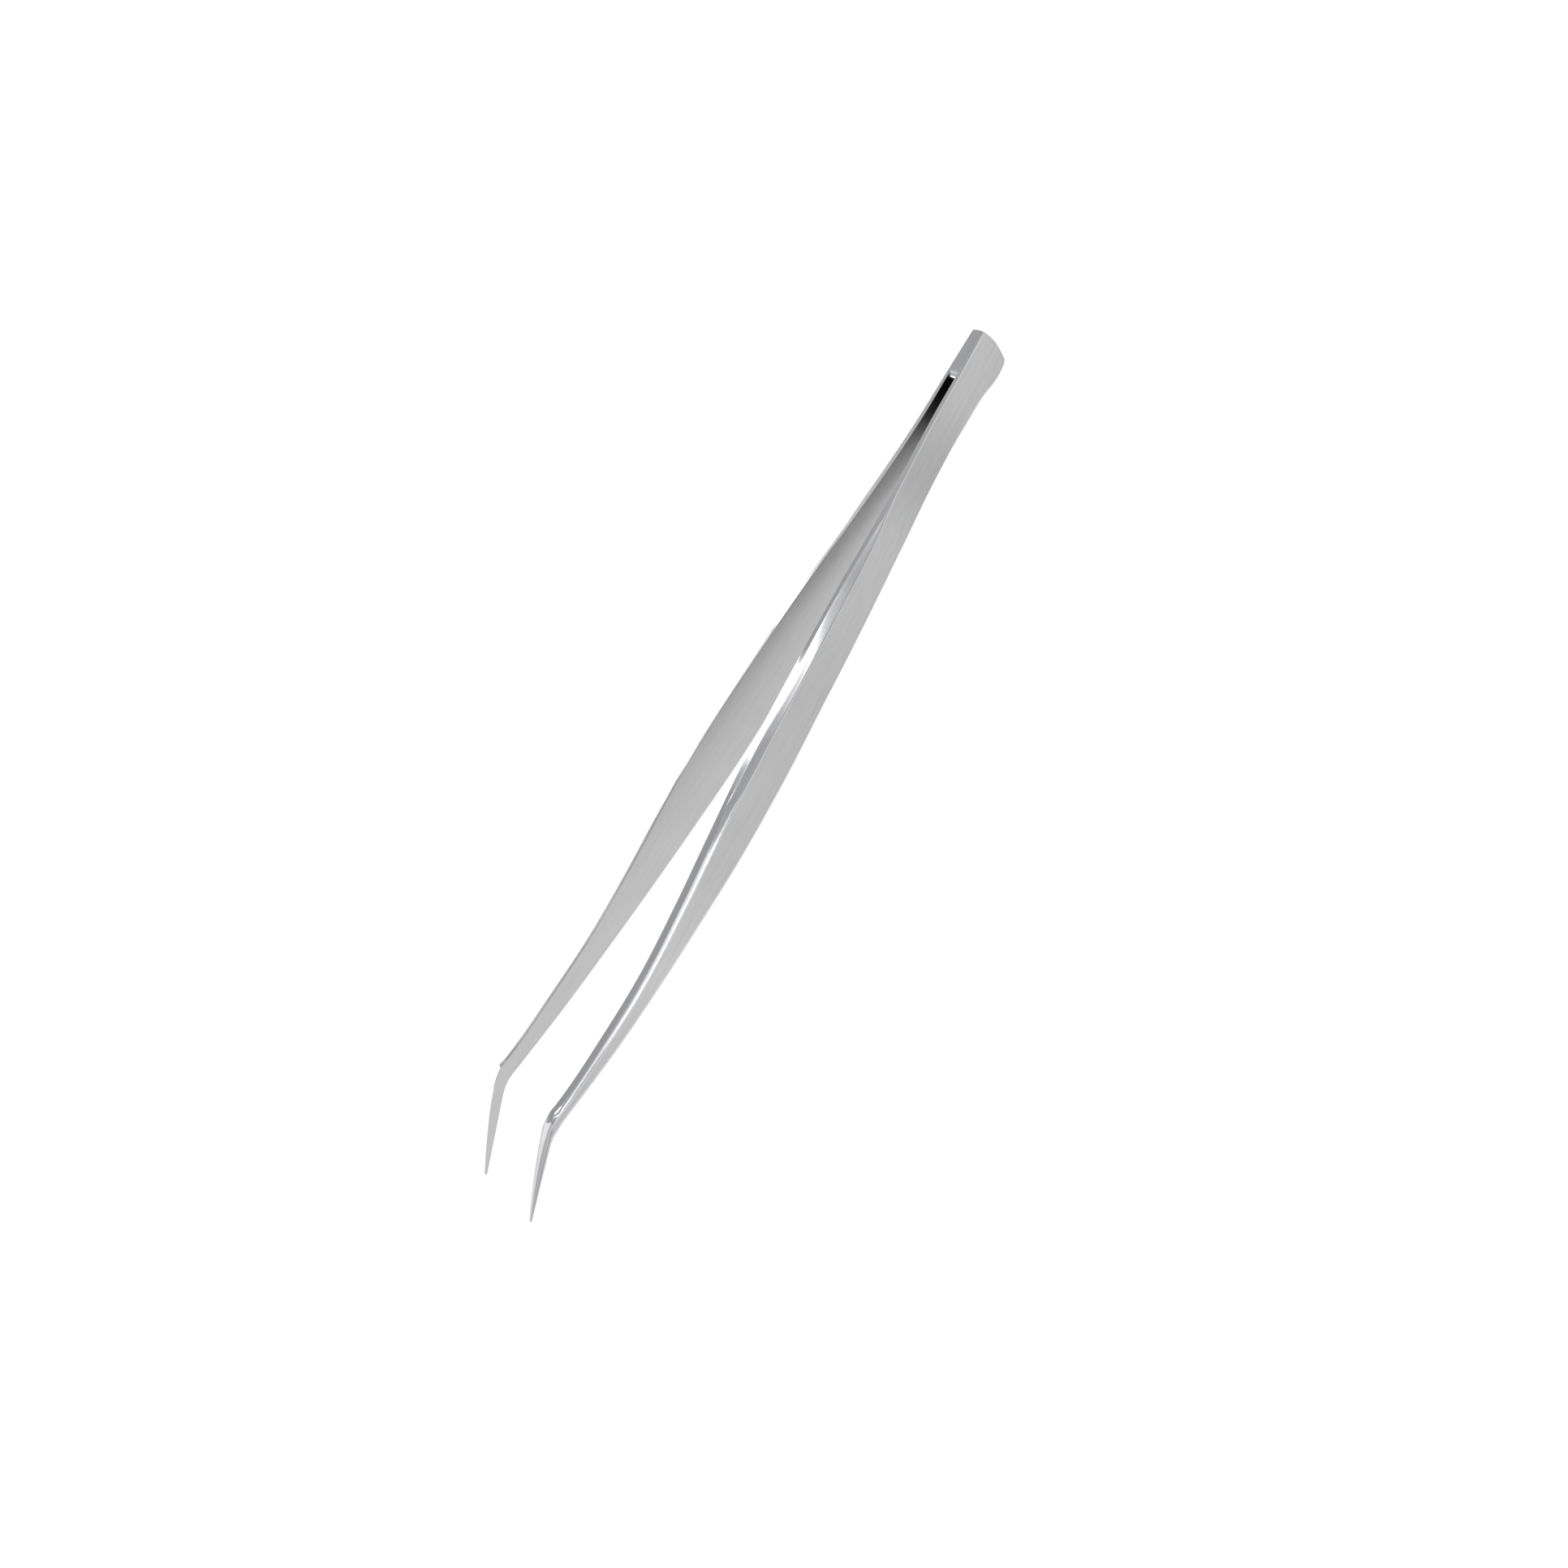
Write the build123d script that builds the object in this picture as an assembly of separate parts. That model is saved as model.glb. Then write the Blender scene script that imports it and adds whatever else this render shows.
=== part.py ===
from build123d import *
import math
import os

os.makedirs("parts", exist_ok=True)

# Angled fine-point tweezers: two sprung steel blades welded to a wedge spacer at the heel.
# X runs from the heel to the tips, Y is the closing direction, Z is across the blades.
# The tips bend towards -Z, and the part rests on the lower edges of its blades at Z = 0.

# Driving dimensions, in millimetres. Stations along a blade are counted from the heel end.
length = 150.0
heel_length = 8.3
heel_top = 6.45
flex_station = 18.0
flex_cut = 0.04
bend_station = 135.2
bend_lead = 0.35
closed_angle = 3.6

# Heel stack: half thicknesses either side of the middle plane.
spacer_half_end = 0.75
spacer_half_gap = 1.05
spacer_dish = 0.25
heel_half_end = 1.43
heel_half_gap = 1.83
leaf_inside = (13.0, 1.1)
leaf_outside = (13.0, 2.0)

# Lower outline of the heel: end corner, lowest point of the foot, and where the foot runs out.
heel_end_bow = (0.3, 3.0)
heel_end_corner = (1.3, 0.75)
foot_start = (1.75, 0.28)
foot_low = (3.9, 0.0)
foot_end = (7.0, 0.52)
leaf_underside = (12.0, 0.92)

# Blade stations: distance from the heel end, lower edge, upper edge, half gap between the
# blades, height of the square edge next to the gap, and size of the bevel outside it.
flex_section = (flex_station, 1.2, 6.5, 1.35, 0.92, 0.04)
shank_sections = [
    flex_section,
    (28.0, 1.25, 6.65, 2.25, 1.0, 0.15),
    (36.0, 0.85, 7.0, 3.05, 1.0, 0.65),
    (46.0, 0.55, 7.6, 4.0, 1.05, 1.0),
    (60.0, 0.3, 8.0, 5.3, 1.05, 1.0),
    (74.0, 0.0, 8.05, 6.45, 0.85, 1.0),
    (86.0, 0.5, 7.4, 7.2, 0.75, 1.0),
    (98.0, 1.3, 6.5, 7.75, 0.7, 0.95),
    (110.0, 2.3, 6.05, 8.3, 0.7, 0.9),
    (122.0, 3.6, 6.6, 8.65, 0.7, 0.9),
]
bend_section = (bend_station, 5.6, 7.95, 8.8, 0.75, 0.85)
tip_section = (length, 0.45, 0.95, 8.35, 0.3, 0.15)


def section(station, low, high, gap, wall, bevel, lead=0.0):
    """Closed section of the +Y blade: flat inner face, square edges, bevelled outer edges."""
    lean = Vector(-2 * lead, 0, high - low)
    base = Vector(station + lead - length / 2, 0, low)

    def corner(across, out):
        return base + lean * across + Vector(0, gap + out, 0)

    edge = bevel / (high - low)
    points = [
        corner(0, 0),
        corner(1, 0),
        corner(1, wall),
        corner(1 - edge, wall + bevel),
        corner(edge, wall + bevel),
        corner(0, wall),
    ]
    return Face(Wire.make_polygon(points, close=True))


def arm():
    """Moving part of a blade: shank from the flex line to the bend, then the needle tip."""
    start = list(flex_section)
    start[0] += flex_cut
    stations = [start] + shank_sections[1:]
    bend = section(*bend_section, lead=bend_lead)
    shank = loft([section(*values) for values in stations] + [bend])
    tip = loft([bend, section(*tip_section)], ruled=True)
    return (shank + tip).solid()


def heel_outline():
    """Side view of the heel and spring leaf, from the heel end to the flex line."""

    def at(station, height):
        return (station - length / 2, 0, height)

    low, high = flex_section[1:3]
    outline = [
        Line(at(0, heel_top), at(flex_station, high)),
        Line(at(flex_station, high), at(flex_station, low)),
        Spline(at(flex_station, low), at(*leaf_underside), at(*foot_end)),
        ThreePointArc(at(*foot_end), at(*foot_low), at(*foot_start)),
        Line(at(*foot_start), at(*heel_end_corner)),
        ThreePointArc(at(*heel_end_corner), at(*heel_end_bow), at(0, heel_top)),
    ]
    side = Face(Wire(outline))
    depth = 2 * heel_half_gap + flex_section[3]
    return extrude(side, amount=depth, dir=(0, 1, 0), both=True)


def in_plan(station, half_width):
    """Point of a view from above, from its distance from the heel end."""
    return (station - length / 2, half_width, 0)


def upright(edges):
    """Solid of a plan outline, tall enough to be cut to the side view."""
    return extrude(Face(Wire(edges)), amount=heel_top + 1, dir=(0, 0, 1), both=True)


def blade_heel():
    """Fixed part of a blade: the tab welded over the spacer, then the start of the spring leaf."""
    gap = flex_section[3]
    back = gap + flex_section[4] + flex_section[5]
    outline = [
        Line(in_plan(0, spacer_half_end), in_plan(heel_length, spacer_half_gap)),
        Spline(in_plan(heel_length, spacer_half_gap), in_plan(*leaf_inside), in_plan(flex_station, gap)),
        Line(in_plan(flex_station, gap), in_plan(flex_station, back)),
        Spline(in_plan(flex_station, back), in_plan(*leaf_outside), in_plan(heel_length, heel_half_gap)),
        Line(in_plan(heel_length, heel_half_gap), in_plan(0, heel_half_end)),
        Line(in_plan(0, heel_half_end), in_plan(0, spacer_half_end)),
    ]
    return (upright(outline) & heel_outline()).solid()


def spacer():
    """Wedge between the two heel tabs. Its end towards the gap is hollowed to a shallow arc."""
    corners = [
        in_plan(heel_length, spacer_half_gap),
        in_plan(0, spacer_half_end),
        in_plan(0, -spacer_half_end),
        in_plan(heel_length, -spacer_half_gap),
    ]
    gap_end = ThreePointArc(corners[3], in_plan(heel_length - spacer_dish, 0), corners[0])
    sides = [Line(corners[i], corners[i + 1]) for i in range(3)]
    return (upright(sides + [gap_end]) & heel_outline()).solid()


def mirrored(solid):
    return mirror(solid, about=Plane.XZ)


left_heel = blade_heel()
left_arm = arm()
parts = {
    "heel_spacer": spacer(),
    "left_blade_heel": left_heel,
    "left_blade_arm": left_arm,
    "right_blade_heel": mirrored(left_heel),
    "right_blade_arm": mirrored(left_arm),
}
for name, solid in parts.items():
    solid.label = name
    export_step(solid, f"parts/{name}.step")
    box = solid.bounding_box()
    print(name, round(solid.volume, 2), box.min, box.max)

swing = math.radians(closed_angle)
tip_offset = tip_section[3] - flex_section[3]
tip_y = flex_section[3] + tip_offset * math.cos(swing) - (length - flex_station) * math.sin(swing)
print("opening between the tips when closed, mm:", round(2 * tip_y, 3))
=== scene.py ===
import math
import bpy
from mathutils import Matrix, Vector

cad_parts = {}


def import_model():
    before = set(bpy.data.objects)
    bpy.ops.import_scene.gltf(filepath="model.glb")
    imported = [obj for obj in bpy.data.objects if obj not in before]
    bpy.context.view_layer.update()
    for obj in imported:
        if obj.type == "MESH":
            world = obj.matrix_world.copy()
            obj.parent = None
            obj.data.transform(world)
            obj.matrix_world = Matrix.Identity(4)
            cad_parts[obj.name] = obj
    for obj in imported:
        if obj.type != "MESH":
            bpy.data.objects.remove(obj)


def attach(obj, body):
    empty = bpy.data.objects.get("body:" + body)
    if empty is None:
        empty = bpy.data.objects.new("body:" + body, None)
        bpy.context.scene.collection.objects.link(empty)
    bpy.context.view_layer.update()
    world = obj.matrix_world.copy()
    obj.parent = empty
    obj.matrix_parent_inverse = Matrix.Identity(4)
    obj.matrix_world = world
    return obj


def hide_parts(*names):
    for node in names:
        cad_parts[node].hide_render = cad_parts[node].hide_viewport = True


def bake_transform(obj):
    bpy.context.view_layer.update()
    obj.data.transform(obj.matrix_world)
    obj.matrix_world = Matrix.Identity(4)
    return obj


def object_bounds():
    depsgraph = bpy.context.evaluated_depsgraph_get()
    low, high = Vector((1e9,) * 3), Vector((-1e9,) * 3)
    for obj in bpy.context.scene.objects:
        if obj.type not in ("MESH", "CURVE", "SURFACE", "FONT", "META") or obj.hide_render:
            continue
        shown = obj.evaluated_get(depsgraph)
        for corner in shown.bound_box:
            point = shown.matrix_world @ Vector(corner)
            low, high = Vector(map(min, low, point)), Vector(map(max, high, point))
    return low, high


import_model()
cad_low, cad_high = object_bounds()

MM = 0.001
LENGTH = 150.0

# ---------------------------------------------------------------- blade shape, in millimetres
# Tables list (station, value). A station is the distance from the heel end.
# Heights are above the surface that the part rests on.
LOWER_EDGE = [
    (1.3, 0.75), (1.5, 0.45), (1.8, 0.25), (2.6, 0.07), (3.9, 0.0), (5.4, 0.14), (7.0, 0.5),
    (8.6, 0.74), (12.0, 0.92), (18.0, 1.2), (28.0, 1.25), (36.0, 0.85), (46.0, 0.55), (60.0, 0.3),
    (74.0, 0.0), (86.0, 0.5), (98.0, 1.3), (110.0, 2.3), (122.0, 3.6), (135.2, 5.6),
]
UPPER_EDGE = [
    (0.0, 6.45), (18.0, 6.5), (28.0, 6.65), (36.0, 7.0), (46.0, 7.6), (60.0, 8.0), (74.0, 8.05),
    (86.0, 7.4), (98.0, 6.5), (110.0, 6.05), (122.0, 6.6), (129.0, 7.14), (133.0, 7.68), (135.2, 8.1),
]
# Half of the space between the inner faces, and the depth of a blade in the closing direction.
HALF_GAP = [
    (0.0, 0.75), (8.3, 1.05), (13.0, 1.1), (18.0, 1.35), (28.0, 2.25), (36.0, 3.05), (46.0, 4.0),
    (60.0, 5.3), (74.0, 6.45), (86.0, 7.2), (98.0, 7.75), (110.0, 8.3), (122.0, 8.65), (135.2, 8.8),
]
THICKNESS = [
    (0.0, 0.68), (8.3, 0.78), (13.0, 0.9), (18.0, 0.96), (28.0, 1.15), (36.0, 1.65), (46.0, 2.05),
    (60.0, 2.05), (74.0, 1.85), (86.0, 1.75), (98.0, 1.65), (110.0, 1.6), (122.0, 1.6), (135.2, 1.6),
]
# Depth of the square edge next to the gap, and how far the bevel comes down the outer face.
WALL = [
    (0.0, 0.6), (8.3, 0.7), (13.0, 0.82), (18.0, 0.88), (28.0, 1.0), (31.0, 0.95), (36.0, 0.8),
    (46.0, 0.76), (60.0, 0.76), (74.0, 0.85), (80.0, 0.75), (86.0, 0.55), (98.0, 0.5),
    (122.0, 0.5), (135.2, 0.6),
]
BEVEL = [
    (0.0, 0.08), (18.0, 0.08), (28.0, 0.12), (31.0, 0.28), (36.0, 0.66), (46.0, 1.0), (56.0, 1.1),
    (64.0, 1.22), (74.0, 1.3), (80.0, 1.15), (86.0, 1.0), (98.0, 0.95), (122.0, 0.9), (135.2, 0.85),
]
# Size of the rounding along the lower outer corner of the heel.
FOOT_ROUNDING = [(0.0, 0.3), (9.0, 0.3), (16.0, 0.1), (30.0, 0.0), (135.2, 0.0)]
# 0 for a flat bevel, 1 for a fully rounded one.
BEVEL_FULLNESS = [
    (0.0, 1.0), (28.0, 1.0), (36.0, 0.25), (60.0, 0.2), (82.0, 0.2), (90.0, 0.6), (110.0, 0.75),
    (135.2, 0.85),
]
# How far the square edge leans down between the gap and the bevel.
EDGE_DROP = [
    (0.0, 0.0), (14.0, 0.02), (30.0, 0.1), (38.0, 0.14), (51.0, 0.14), (57.0, 0.28), (62.0, 0.36),
    (76.0, 0.36), (79.0, 0.3), (82.0, 0.1), (86.0, 0.08), (135.2, 0.08),
]

# Heel: its slanting end, and the spacer with the rounded lip at its inner end.
HEEL_END_CORNER = 1.3
HEEL_END_BOW = 0.5
HEEL_END_ROUNDING = 0.14
SPACER_LENGTH = 8.3
SPACER_CLEARANCE = 0.004
LIP_LENGTH, LIP_DROP = 1.2, 0.5
LIP_CLEARANCE = 0.15

# Bend and tip. The tip tables list (distance past the bend, value).
BEND = 135.2
BEND_LEAD = 0.35
BEND_LEAD_START = 124.0
BEND_REACH = 2.2
BEND_LOW, BEND_HIGH = 5.82, 8.35
TIP_LOW, TIP_HIGH = 0.45, 0.95
TIP_GAP, TIP_THICKNESS = 8.35, 0.44
TIP_WALL = [(0.0, 0.6), (2.5, 0.3), (14.8, 0.1)]
TIP_BEVEL = [(0.0, 0.85), (2.5, 0.95), (14.8, 0.22)]
TIP_CROWN = [(0.0, 0.0), (3.0, 0.26), (14.8, 0.1)]
TIP_BULGE = 0.5
TIP_EDGE_DROP = 0.04
TIP_FULLNESS, TIP_FULLNESS_FALL, TIP_FULLNESS_LEAST = 0.85, 0.1, 0.55
NOSE = 0.2

# Rounding of the corners on the inner face: tight where the blades meet the spacer.
SEAM = 0.02
INNER_ROUNDING = 0.045
ROUNDING_CHANGE = 6.0
# Share of the edge's drop that its inner corner takes, and the least height of a bevel below the drop.
CORNER_DROP_SHARE = 0.1
LEAST_BEVEL = 0.02

# Where the sections stand upright.
SHANK_START = 9.0

# Fineness of the meshes: counts of rings and steps, shares across a face, and angles in degrees.
HEEL_RINGS, SHANK_RINGS, BEND_STEPS, TIP_STEPS = 26, 150, 8, 30
CORNER_STEPS, BEVEL_STEPS = 3, 9
LOW_SPACING, HIGH_SPACING = 1.25, 1.1
INNER_ROWS = (0.02, 0.12, 0.35, 0.65, 0.88, 0.98)
EDGE_ROWS = (0.25, 0.6, 0.9)
OUTER_ROWS = (0.03, 0.12, 0.3, 0.5, 0.7, 0.88, 0.97)
SPACER_ROWS = (0.0, 0.01, 0.15, 0.4, 0.6, 0.85, 0.99, 1.0)
HEEL_END_ANGLES = (0, 25, 50, 75)
NOSE_ANGLES = (30, 60, 80)
LIP_ANGLES = range(0, 91, 15)
SPACER_CREASE = 40


def metres_along(station):
    """Place along X, in metres, of a station."""
    return (station - LENGTH / 2) * MM


def smooth(points, x):
    """Value at x of a smooth curve through (x, value) points."""
    if x <= points[0][0]:
        return points[0][1]
    if x >= points[-1][0]:
        return points[-1][1]
    i = max(k for k in range(len(points) - 1) if points[k][0] <= x)
    (x0, y0), (x1, y1) = points[i], points[i + 1]

    def slope(k):
        a, b = points[max(k - 1, 0)], points[min(k + 1, len(points) - 1)]
        return (b[1] - a[1]) / (b[0] - a[0])

    h = x1 - x0
    t = (x - x0) / h
    m0, m1 = slope(i) * h, slope(i + 1) * h
    return (
        y0 * (1 + 2 * t) * (1 - t) ** 2
        + m0 * t * (1 - t) ** 2
        + y1 * t * t * (3 - 2 * t)
        + m1 * t * t * (t - 1)
    )


def bezier(a, b, c, count):
    """Points of a quadratic curve from a to c that leans towards b, both ends included."""
    a, b, c = Vector(a), Vector(b), Vector(c)
    ts = [i / count for i in range(count + 1)]
    return [a * (1 - t) ** 2 + b * 2 * t * (1 - t) + c * t * t for t in ts]


def outline(height, thickness, wall, bevel, foot, fullness=1.0, drop=0.0, crown=0.0, rounding=SEAM):
    """Section of a blade as (height, depth, kind), round from the foot of the inner face."""
    rows = []

    def half(wide, tall, flip):
        """Edge, bevel and start of the outer face at one side, from the inner face outwards."""
        start = Vector((height - drop, thickness - wide))
        end = Vector((height - max(tall, drop + LEAST_BEVEL), thickness - crown))
        middle = (start + end) / 2
        lean = middle + (Vector((height - drop, thickness - crown)) - middle) * fullness
        corner = (height - drop * CORNER_DROP_SHARE, rounding)
        edge = bezier((height - rounding, 0), (height, 0), corner, CORNER_STEPS)
        flat = [edge[-1].lerp(start, f) for f in EDGE_ROWS]
        slope = bezier(start, lean, end, BEVEL_STEPS)
        points = [(p, "round") for p in edge] + [(p, "edge") for p in flat]
        points += [(p, "bevel") for p in slope]
        if flip:
            points = [(Vector((height - p.x, p.y)), kind) for p, kind in points]
        return points

    wide = thickness - wall
    upper = half(wide, bevel, False)
    lower = half(max(wide, foot), max(bevel, foot), True)[::-1]
    inner_low, inner_high = lower[-1][0].x, upper[0][0].x
    outer_high, outer_low = upper[-1][0].x, lower[0][0].x
    for f in INNER_ROWS:
        rows.append((inner_low + (inner_high - inner_low) * f, 0.0, "inner"))
    rows += [(p.x, p.y, kind) for p, kind in upper]
    for f in OUTER_ROWS:
        depth = thickness - crown * (2 * f - 1) ** 2
        rows.append((outer_high + (outer_low - outer_high) * f, depth, "outer"))
    rows += [(p.x, p.y, kind) for p, kind in lower]
    return rows


def section_at(station, rounding):
    """Section of a blade at a station of the shank or the leaf."""
    low, high = smooth(LOWER_EDGE, station), smooth(UPPER_EDGE, station)
    return outline(
        high - low,
        smooth(THICKNESS, station),
        smooth(WALL, station),
        smooth(BEVEL, station),
        smooth(FOOT_ROUNDING, station),
        smooth(BEVEL_FULLNESS, station),
        smooth(EDGE_DROP, station),
        0.0,
        rounding,
    )


class Ring:
    """One section of a blade: a line from a low point to a high point, and an outline across it."""

    def __init__(self, low, high, rows, gap, bow=0.0):
        self.low, self.high = Vector(low), Vector(high)
        self.rows, self.gap, self.bow = rows, gap, bow
        self.height = max(r[0] for r in rows)

    def points(self, inset_in=0.0, inset_out=0.0, back=0.0):
        """Points in metres in the +Y blade, drawn in from its inner and outer faces by the insets."""
        found = []
        depth_most = max(r[1] for r in self.rows)
        for height, depth, kind in self.rows:
            q = height / self.height
            squeeze = inset_out * (2 * q - 1)
            spot = self.low.lerp(self.high, q)
            side = (self.high - self.low).normalized()
            spot = spot - side * squeeze
            spot.x = max(spot.x - self.bow * 4 * q * (1 - q), 0.0)
            share = depth / depth_most
            d = depth + inset_in * (1 - share) - inset_out * share
            gap = self.gap if self.gap is not None else smooth(HALF_GAP, spot.x)
            found.append(Vector((spot.x + back - LENGTH / 2, gap + d, spot.y)) * MM)
        return found


def heel_rings():
    """Rings that turn from the bowed heel end to upright sections."""
    rings = []
    for i in range(HEEL_RINGS):
        t = i / HEEL_RINGS
        foot = HEEL_END_CORNER + (SHANK_START - HEEL_END_CORNER) * t ** LOW_SPACING
        head = SHANK_START * t ** HIGH_SPACING
        low = Vector((foot, smooth(LOWER_EDGE, foot)))
        high = Vector((head, smooth(UPPER_EDGE, head)))
        middle = (foot + head) / 2
        rows = outline(
            (high - low).length,
            smooth(THICKNESS, middle),
            smooth(WALL, middle),
            smooth(BEVEL, middle),
            smooth(FOOT_ROUNDING, middle),
        )
        rings.append(Ring(low, high, rows, None, HEEL_END_BOW * (1 - t) ** 2))
    return rings


def shank_rings():
    """Upright rings along the leaf and the shank, leaning into the bend at the end."""
    rings = []
    last = BEND - BEND_REACH
    for i in range(SHANK_RINGS + 1):
        station = SHANK_START + (last - SHANK_START) * i / SHANK_RINGS
        change = min(max((station - SHANK_START) / ROUNDING_CHANGE, 0.0), 1.0)
        rounding = SEAM + (INNER_ROUNDING - SEAM) * change
        lead = BEND_LEAD * max(0.0, (station - BEND_LEAD_START) / (last - BEND_LEAD_START)) ** 2
        low = Vector((station + lead, smooth(LOWER_EDGE, station + lead)))
        high = Vector((station - lead, smooth(UPPER_EDGE, station - lead)))
        rows = section_at(station, rounding)
        rings.append(Ring(low, high, rows, smooth(HALF_GAP, station)))
    return rings


def bend_and_tip_rings(start):
    """Rings round the bend, then along the tapering tip."""
    low_corner = Vector((BEND + BEND_LEAD, BEND_LOW))
    high_corner = Vector((BEND - BEND_LEAD, BEND_HIGH))
    low_tip, high_tip = Vector((LENGTH - NOSE, TIP_LOW)), Vector((LENGTH - NOSE, TIP_HIGH))
    reach = BEND_REACH / (LENGTH - BEND)
    low_after = low_corner.lerp(low_tip, reach)
    high_after = high_corner.lerp(high_tip, reach)
    lows = bezier(start.low, low_corner, low_after, BEND_STEPS)
    highs = bezier(start.high, high_corner, high_after, BEND_STEPS)
    lows += [low_after.lerp(low_tip, i / TIP_STEPS) for i in range(1, TIP_STEPS + 1)]
    lean = (high_after + high_tip) / 2 + Vector((0.0, TIP_BULGE))
    highs += bezier(high_after, lean, high_tip, TIP_STEPS)[1:]
    rings = []
    for low, high in list(zip(lows, highs))[1:]:
        along = max(0.0, (low.x + high.x) / 2 - BEND)
        share = along / (LENGTH - BEND)

        def taper(a, b):
            return a + (b - a) * share

        rows = outline(
            (high - low).length,
            taper(smooth(THICKNESS, BEND), TIP_THICKNESS),
            smooth(TIP_WALL, along),
            smooth(TIP_BEVEL, along),
            0.0,
            max(TIP_FULLNESS_LEAST, TIP_FULLNESS - along * TIP_FULLNESS_FALL),
            TIP_EDGE_DROP,
            smooth(TIP_CROWN, along),
            INNER_ROUNDING,
        )
        rings.append(Ring(low, high, rows, taper(smooth(HALF_GAP, BEND), TIP_GAP)))
    return rings


def skin(name, loops, side=1, kinds=None, kind_slots=None, crease=None):
    """Closed mesh over a row of loops with the same number of points, with flat fans at both ends."""
    verts = [Vector((p.x, p.y * side, p.z)) for loop in loops for p in loop]
    count = len(loops[0])
    faces = []
    face_kinds = []
    for i in range(len(loops) - 1):
        for j in range(count):
            k = (j + 1) % count
            face = (i * count + j, (i + 1) * count + j, (i + 1) * count + k, i * count + k)
            faces.append(face)
            face_kinds.append(kinds[j] if kinds else None)
    for base, turned in ((0, False), ((len(loops) - 1) * count, True)):
        centre = sum((verts[base + j] for j in range(count)), Vector()) / count
        verts.append(centre)
        for j in range(count):
            k = (j + 1) % count
            tri = (len(verts) - 1, base + j, base + k)
            faces.append(tri[::-1] if turned else tri)
            face_kinds.append("end")
    if side < 0:
        faces = [f[::-1] for f in faces]
    mesh = bpy.data.meshes.new(name)
    mesh.from_pydata([tuple(v) for v in verts], [], faces)
    if kind_slots:
        for polygon, kind in zip(mesh.polygons, face_kinds):
            polygon.material_index = kind_slots[kind]
    mesh.shade_smooth()
    if crease:
        mesh.set_sharp_from_angle(angle=math.radians(crease))
    mesh.validate()
    mesh.update()
    piece = bpy.data.objects.new(name, mesh)
    bpy.context.scene.collection.objects.link(piece)
    return piece


BLADE_SLOTS = {"outer": 0, "end": 0, "round": 1, "edge": 1, "bevel": 1, "inner": 2}


def blade(name, side):
    """A whole blade, in one unbroken skin from the heel end to the tip."""
    rings = heel_rings() + shank_rings()
    rings += bend_and_tip_rings(rings[-1])
    edge = HEEL_END_ROUNDING
    first = []
    for angle in HEEL_END_ANGLES:
        a = math.radians(angle)
        inset = edge * (1 - math.sin(a))
        back = edge * (1 - math.cos(a))
        first.append(rings[0].points(SEAM * (1 - math.sin(a)), inset, back))
    body = [r.points() for r in rings[1:]]
    end = rings[-1]
    nose = []
    for angle in NOSE_ANGLES:
        a = math.radians(angle)
        inset = NOSE * (1 - math.cos(a))
        nose.append(end.points(inset, inset, NOSE * math.sin(a)))
    kinds = [r[2] for r in rings[0].rows]
    return skin(name, first + body + nose, side, kinds, BLADE_SLOTS)


def spacer():
    """Wedge between the heel tabs, flush all round, with a rounded lip at the gap."""

    def band(low, high, bow=0.0):
        """Points round the wedge at one ring: up its -Y side, then down its +Y side."""
        spots = []
        for q in SPACER_ROWS:
            spot = Vector(low).lerp(Vector(high), q)
            spot.x = max(spot.x - bow * 4 * q * (1 - q), 0.0)
            spots.append(spot)
        points = []
        for sign, row in ((-1, spots), (1, spots[::-1])):
            for spot in row:
                y = sign * (smooth(HALF_GAP, spot.x) - SPACER_CLEARANCE)
                points.append(Vector((spot.x - LENGTH / 2, y, spot.y)) * MM)
        return points

    lip_start = SPACER_LENGTH - LIP_LENGTH
    loops = [band(r.low, r.high, r.bow) for r in heel_rings() if r.high.x < lip_start - LIP_CLEARANCE]
    for angle in LIP_ANGLES:
        a = math.radians(angle)
        x = lip_start + LIP_LENGTH * math.sin(a)
        drop = LIP_DROP * (1 - math.cos(a))
        loops.append(band((x, smooth(LOWER_EDGE, x) + drop), (x, smooth(UPPER_EDGE, x) - drop)))
    return skin("heel_spacer_skin", loops, crease=SPACER_CREASE)


# ---------------------------------------------------------------- materials
# Noise scales are per metre. The grain is stretched along X, as brushing leaves it.
GRAIN = {"scale": 1.0, "detail": 6.0, "stretch": (60, 1800, 1800)}
MOTTLE = {"scale": 160.0, "detail": 4.0}
DRIFT = {"scale": 45.0, "detail": 2.0, "stretch": (1, 0.6, 0.6)}
NOISE_ROUGHNESS = 0.6
# The middle of the noise's range, which spread() stretches to a whole range.
NOISE_LOW, NOISE_HIGH = 0.3, 0.7
BLOTCH_SHARE, DRIFT_SHARE = 0.4, 0.6
GRAIN_DEPTH = 0.00002

# Stations between which the edges turn from satin to polished, and between which the painted shade on the
# inner faces at the gap's end by the spacer fades to the steel's own tone.
POLISH_CHANGE = (34, 56)
PAINTED_GAP_SHADE_CHANGE = (9.5, 21)
# Colour of the painted shade on the inner faces next to the spacer.
PAINTED_GAP_SHADE_TONE = (0.07, 0.07, 0.07)

# (station, level) pairs: how light the steel is along a blade. The satin levels are partly the steel's own
# tone and partly painted shade and painted highlight, and their fall past the bend is painted shade at the
# tip.
SATIN_TONE_AND_PAINTED_SHADE = [
    (8, 1.0), (23, 0.83), (36, 1.01), (59, 0.95), (88, 1.0), (106, 1.1), (119, 1.02), (135, 0.96),
    (138, 0.72),
]
EDGE_TONE = [(0, 1.0), (136, 1.0), (142, 0.88)]

FLOOR_TONE = (0.25, 0.25, 0.25)
FLOOR_ROUGHNESS = 0.9
FLOOR_GLOW = 0.88


def new_material(name):
    """Material with only a shader and an output, and that shader."""
    material = bpy.data.materials.new(name)
    material.use_nodes = True
    nodes = material.node_tree.nodes
    nodes.clear()
    shader = nodes.new("ShaderNodeBsdfPrincipled")
    output = nodes.new("ShaderNodeOutputMaterial")
    material.node_tree.links.new(shader.outputs["BSDF"], output.inputs["Surface"])
    return material, shader


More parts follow.
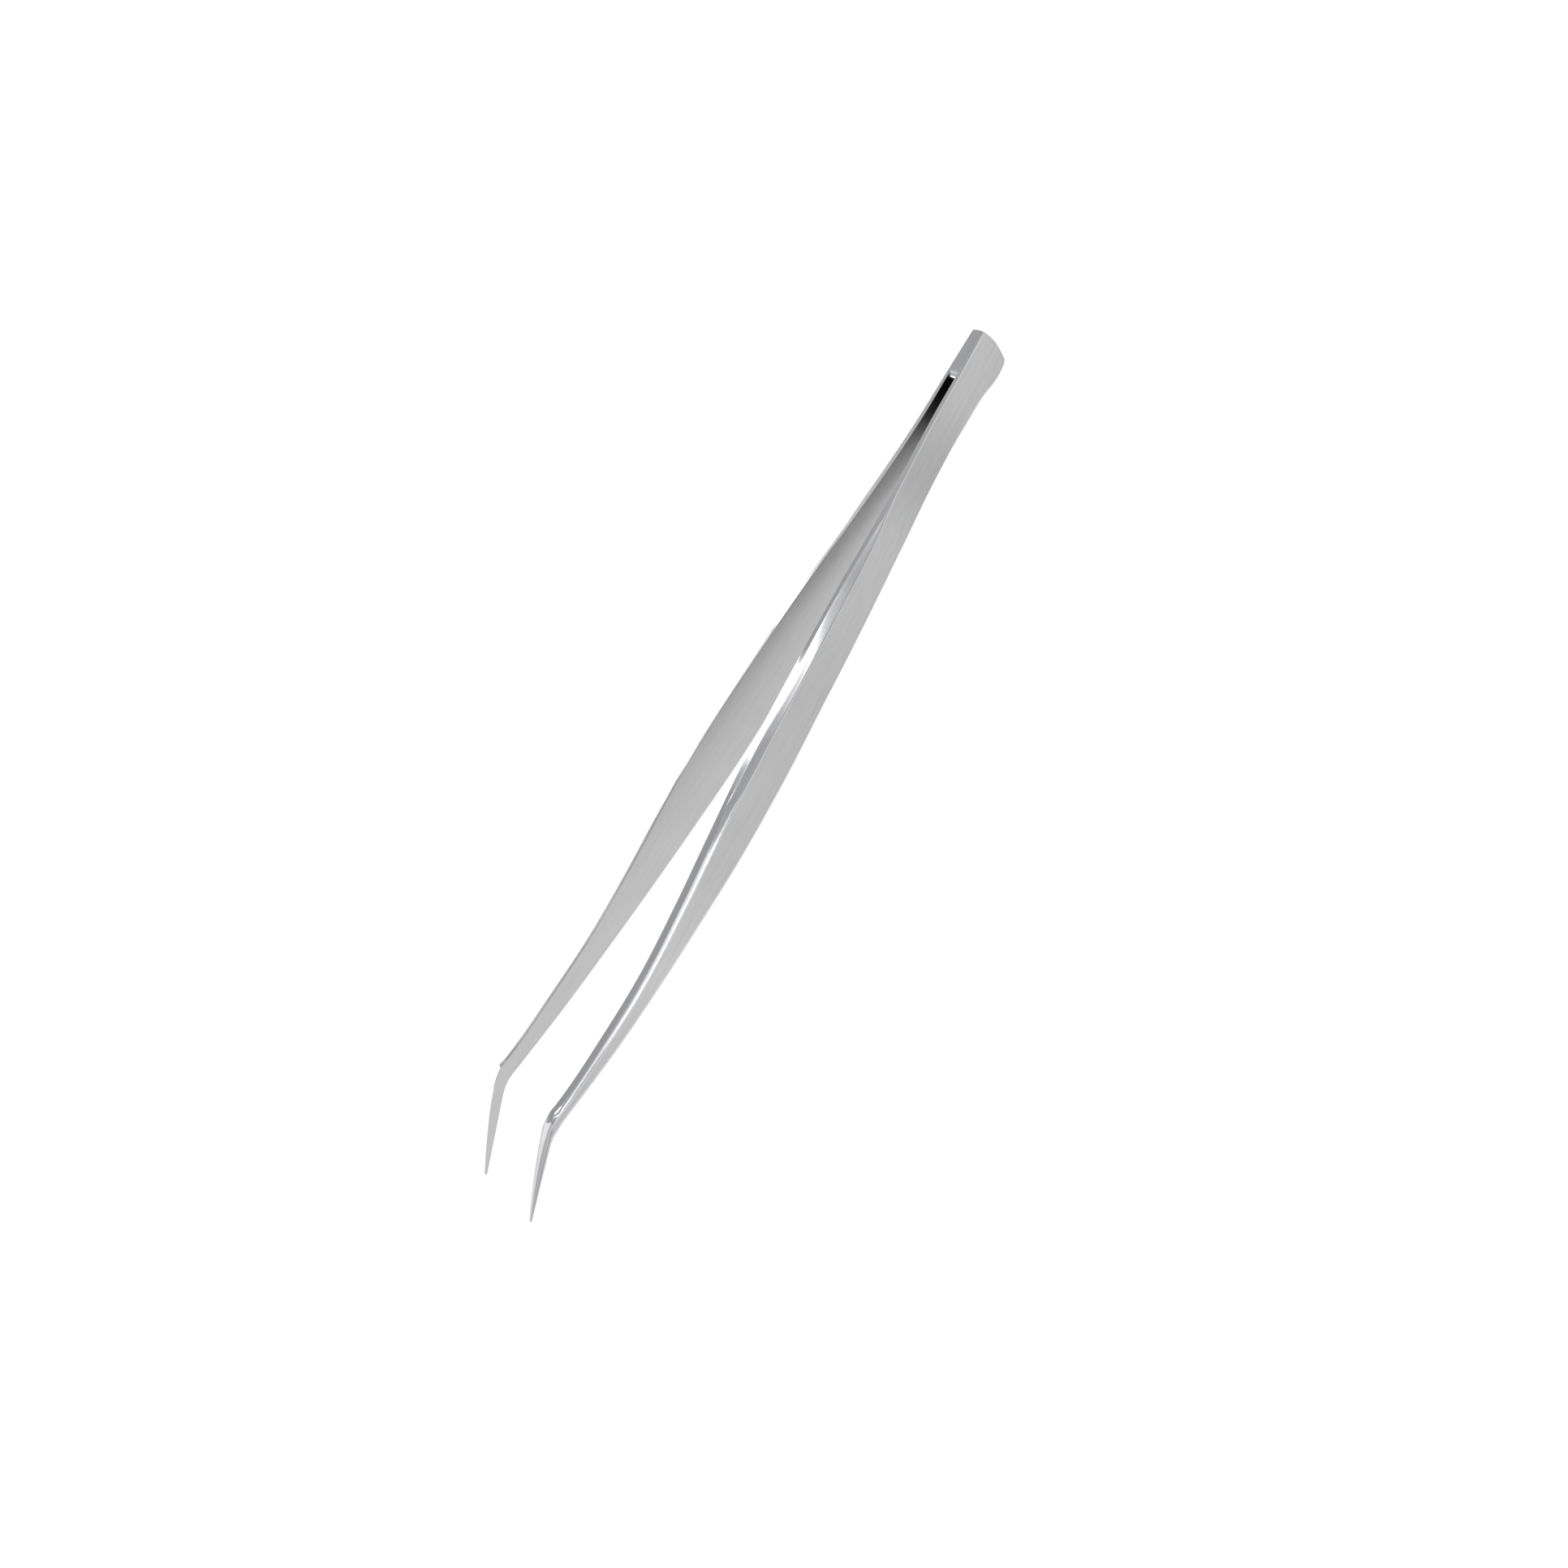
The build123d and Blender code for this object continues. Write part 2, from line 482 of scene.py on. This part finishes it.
class Maker:
    """Short way to add and link nodes in one material."""

    def __init__(self, name):
        self.material, self.shader = new_material(name)
        self.tree = self.material.node_tree
        self.place = self.add("ShaderNodeTexCoord").outputs["Object"]

    def add(self, kind, inputs=None, **settings):
        """New node. An input that is a socket is linked, and any other is set."""
        node = self.tree.nodes.new(kind)
        for key, value in settings.items():
            setattr(node, key, value)
        for key, value in (inputs or {}).items():
            if isinstance(value, bpy.types.NodeSocket):
                self.tree.links.new(value, node.inputs[key])
            else:
                node.inputs[key].default_value = value
        return node

    def noise(self, scale, detail, stretch=(1, 1, 1)):
        """Noise in the object's own space."""
        spread = self.add("ShaderNodeMapping", {"Vector": self.place, "Scale": stretch})
        inputs = {
            "Vector": spread.outputs["Vector"],
            "Scale": scale,
            "Detail": detail,
            "Roughness": NOISE_ROUGHNESS,
        }
        return self.add("ShaderNodeTexNoise", inputs).outputs["Fac"]

    def along(self, start, end):
        """0 before start and 1 after end, both stations in millimetres from the heel."""
        x = self.add("ShaderNodeSeparateXYZ", {"Vector": self.place}).outputs["X"]
        inputs = {"Value": x, "From Min": metres_along(start), "From Max": metres_along(end)}
        return self.add("ShaderNodeMapRange", inputs, interpolation_type="SMOOTHSTEP").outputs["Result"]

    def spread(self, value, low, high):
        """Noise around a half turned into a range."""
        inputs = {
            "Value": value,
            "From Min": NOISE_LOW,
            "From Max": NOISE_HIGH,
            "To Min": low,
            "To Max": high,
        }
        return self.add("ShaderNodeMapRange", inputs).outputs["Result"]

    def mix(self, factor, low, high):
        """Colour between two others."""
        node = self.add("ShaderNodeMix", data_type="RGBA")
        for socket, value in ((0, factor), (6, low), (7, high)):
            if isinstance(value, bpy.types.NodeSocket):
                self.tree.links.new(value, node.inputs[socket])
            else:
                node.inputs[socket].default_value = (*value, 1)
        return node.outputs[2]

    def mix_value(self, factor, low, high):
        """Number between two others."""
        node = self.add("ShaderNodeMix", data_type="FLOAT")
        for socket, value in ((0, factor), (2, low), (3, high)):
            if isinstance(value, bpy.types.NodeSocket):
                self.tree.links.new(value, node.inputs[socket])
            else:
                node.inputs[socket].default_value = value
        return node.outputs[0]

    def along_tones(self, tones):
        """Grey level that follows (station, level) pairs along the blade."""
        x = self.add("ShaderNodeSeparateXYZ", {"Vector": self.place}).outputs["X"]
        inputs = {"Value": x, "From Min": metres_along(0), "From Max": metres_along(LENGTH)}
        share = self.add("ShaderNodeMapRange", inputs).outputs["Result"]
        ramp = self.add("ShaderNodeValToRGB", {"Fac": share})
        ramp.color_ramp.interpolation = "EASE"
        stops = ramp.color_ramp.elements
        stops.remove(stops[1])
        stops[0].position = tones[0][0] / LENGTH
        first = tones[0][1]
        stops[0].color = (first, first, first, 1)
        for station, level in tones[1:]:
            stops.new(station / LENGTH).color = (level, level, level, 1)
        return ramp.outputs["Color"]

    def feed(self, name, socket):
        """Link a socket to the shader's input of that name."""
        self.tree.links.new(socket, self.shader.inputs[name])


def steel(name, dark, light, satin, polished=None, painted_gap_shade=None, tones=None, relief=0.25):
    """Steel with fine grain along X and a slow mottle.

    satin and polished are ranges of roughness. The stretch for the gap's end gives painted shade: the
    inner faces are painted dark next to the spacer, where the gap lies in shade, and turn to their own
    tone along it.
    """
    maker = Maker(name)
    maker.shader.inputs["Metallic"].default_value = 1.0
    grain = maker.noise(**GRAIN)
    mottle = maker.noise(**MOTTLE)
    drift = maker.noise(**DRIFT)
    both = maker.mix_value(BLOTCH_SHARE, grain, maker.mix_value(DRIFT_SHARE, mottle, drift))
    tone = maker.mix(maker.spread(both, 0.0, 1.0), dark, light)
    # The levels along the blade multiply the colour; on the satin faces they carry painted shade and
    # painted highlight.
    if tones:
        inputs = {0: 1.0, 6: tone, 7: maker.along_tones(tones)}
        tone = maker.add("ShaderNodeMix", inputs, data_type="RGBA", blend_type="MULTIPLY").outputs[2]
    # Painted shade: darken the inner faces next to the spacer, where the gap between the blades lies in
    # shade.
    if painted_gap_shade:
        tone = maker.mix(maker.along(*painted_gap_shade), PAINTED_GAP_SHADE_TONE, tone)
    maker.feed("Base Color", tone)
    rough = maker.spread(both, *satin)
    if polished:
        rough = maker.mix_value(maker.along(*POLISH_CHANGE), rough, maker.spread(both, *polished))
    maker.feed("Roughness", rough)
    inputs = {"Strength": relief, "Distance": GRAIN_DEPTH, "Height": grain}
    maker.feed("Normal", maker.add("ShaderNodeBump", inputs).outputs["Normal"])
    return maker.material


def floor_material():
    """Pale matt floor, partly lit from within so that it shows hardly any shadow."""
    material, shader = new_material("floor_white")
    shader.inputs["Base Color"].default_value = (*FLOOR_TONE, 1)
    shader.inputs["Roughness"].default_value = FLOOR_ROUGHNESS
    shader.inputs["Specular IOR Level"].default_value = 0.0
    shader.inputs["Emission Color"].default_value = (1, 1, 1, 1)
    shader.inputs["Emission Strength"].default_value = FLOOR_GLOW
    return material


# Satin faces, with painted shade and painted highlight along the blade from their levels.
satin = steel(
    "satin_steel_and_painted_shade",
    dark=(0.435, 0.435, 0.435),
    light=(0.525, 0.525, 0.528),
    satin=(0.3, 0.42),
    tones=SATIN_TONE_AND_PAINTED_SHADE,
)
edges = steel(
    "polished_steel",
    dark=(0.54, 0.54, 0.55),
    light=(0.61, 0.61, 0.62),
    satin=(0.26, 0.34),
    polished=(0.12, 0.2),
    tones=EDGE_TONE,
    relief=0.1,
)
# Inner faces, with painted shade at the gap's end by the spacer.
inner = steel(
    "inner_steel_painted_gap_shade",
    dark=(0.46, 0.46, 0.46),
    light=(0.54, 0.54, 0.545),
    satin=(0.28, 0.38),
    painted_gap_shade=PAINTED_GAP_SHADE_CHANGE,
)
ground = steel(
    "ground_steel",
    dark=(0.55, 0.55, 0.55),
    light=(0.63, 0.63, 0.635),
    satin=(0.2, 0.3),
)


# ---------------------------------------------------------------- pieces
for name, side, arm in (("left_blade", 1, "left_arm"), ("right_blade", -1, "right_arm")):
    piece = blade(name, side)
    for material in (satin, edges, inner):
        piece.data.materials.append(material)
    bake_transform(piece)
    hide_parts(name + "_heel", name + "_arm")

wedge = spacer()
wedge.data.materials.append(ground)
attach(wedge, "heel")
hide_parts("heel_spacer")


# ---------------------------------------------------------------- floor, light and camera
FLOOR_HALF_SIZE = 1.6
FLOOR_DROP = 0.0002
CAMERA_TARGET = (-0.0007, 0.0, -0.0049)
CAMERA_ELEVATION, CAMERA_AZIMUTH, CAMERA_ROLL = 35.0, 1.0, -59.1
CAMERA_DISTANCE = 0.3638
CAMERA_LENS, CAMERA_SENSOR = 54.2, 36.0
CAMERA_CLIP = 0.01
SKY = (0.52, 0.525, 0.534)
PANEL_DISTANCE = 0.5
# Name, elevation and spread in degrees, left and right ends along X in metres, brightness.
PANELS = [
    ("front_heel", 48, 18, -0.126, -0.096, 2.5),
    ("front_heel_high", 69, 24, -0.124, -0.094, 2.4),
    ("overhead", 93, 22, -0.12, -0.017, 2.6),
    ("front_tip", 18, 28, 0.008, 0.05, 2.6),
    ("front_tip_mid", 40, 18, 0.0, 0.06, 1.7),
    ("front_tip_high", 62, 26, 0.035, 0.09, 0.9),
    ("back_heel", 165, 20, -0.10, 0.005, 2.4),
    ("back_heel_dim", 148, 18, -0.13, -0.06, 0.6),
    ("back_tip", 147, 14, 0.10, 0.24, 0.95),
    ("back_lip", 166, 24, 0.10, 0.29, 4.0),
    ("far_tip", 102, 86, 0.30, 1.1, 0.85),
    ("far_tip_low", 28, 60, 0.30, 1.1, 0.28),
    ("back_far_tip", 158, 22, 0.26, 0.55, 0.5),
]


def floor():
    """Plain floor just under the part."""
    size = FLOOR_HALF_SIZE
    mesh = bpy.data.meshes.new("floor")
    z = cad_low.z - FLOOR_DROP
    corners = [(-size, -size, z), (size, -size, z), (size, size, z), (-size, size, z)]
    mesh.from_pydata(corners, [], [(0, 1, 2, 3)])
    plane = bpy.data.objects.new("floor", mesh)
    plane.data.materials.append(floor_material())
    bpy.context.scene.collection.objects.link(plane)


def towards(elevation, azimuth):
    """Unit direction; azimuth 0 is +Y and 90 is +X."""
    e, a = math.radians(elevation), math.radians(azimuth)
    return Vector((math.sin(a) * math.cos(e), math.cos(a) * math.cos(e), math.sin(e)))


def panel(name, elevation, spread, left, right, brightness):
    """Soft panel along X. Elevation runs from 0 at +Y over the top to 180 at -Y."""
    distance = PANEL_DISTANCE
    light = bpy.data.lights.new(name, "AREA")
    light.shape = "RECTANGLE"
    light.size = right - left
    light.size_y = 2 * distance * math.tan(math.radians(spread / 2))
    light.energy = brightness * math.pi * light.size * light.size_y
    lamp = bpy.data.objects.new(name, light)
    e = math.radians(elevation)
    lamp.location = ((left + right) / 2, distance * math.cos(e), distance * math.sin(e))
    lamp.rotation_euler = (e - math.pi / 2, 0, 0)
    bpy.context.scene.collection.objects.link(lamp)


def camera():
    """Camera that looks down across the +Y blade, rolled so that the tweezers lie slantwise."""
    target = Vector(CAMERA_TARGET)
    back = towards(CAMERA_ELEVATION, CAMERA_AZIMUTH)
    roll = math.radians(CAMERA_ROLL)
    data = bpy.data.cameras.new("camera")
    data.sensor_width = CAMERA_SENSOR
    data.lens = CAMERA_LENS
    data.clip_start = CAMERA_CLIP
    eye = bpy.data.objects.new("camera", data)
    eye.location = target + back * CAMERA_DISTANCE
    level = (-back).to_track_quat("-Z", "Y").to_matrix()
    eye.rotation_euler = (level @ Matrix.Rotation(roll, 3, "Z")).to_euler()
    bpy.context.scene.collection.objects.link(eye)
    bpy.context.scene.camera = eye


def world():
    """Even grey surroundings."""
    sky = bpy.data.worlds.new("studio")
    sky.use_nodes = True
    sky.node_tree.nodes["Background"].inputs["Color"].default_value = (*SKY, 1)
    bpy.context.scene.world = sky


floor()
camera()
world()
for settings in PANELS:
    panel(*settings)
bpy.context.scene.view_settings.view_transform = "Standard"
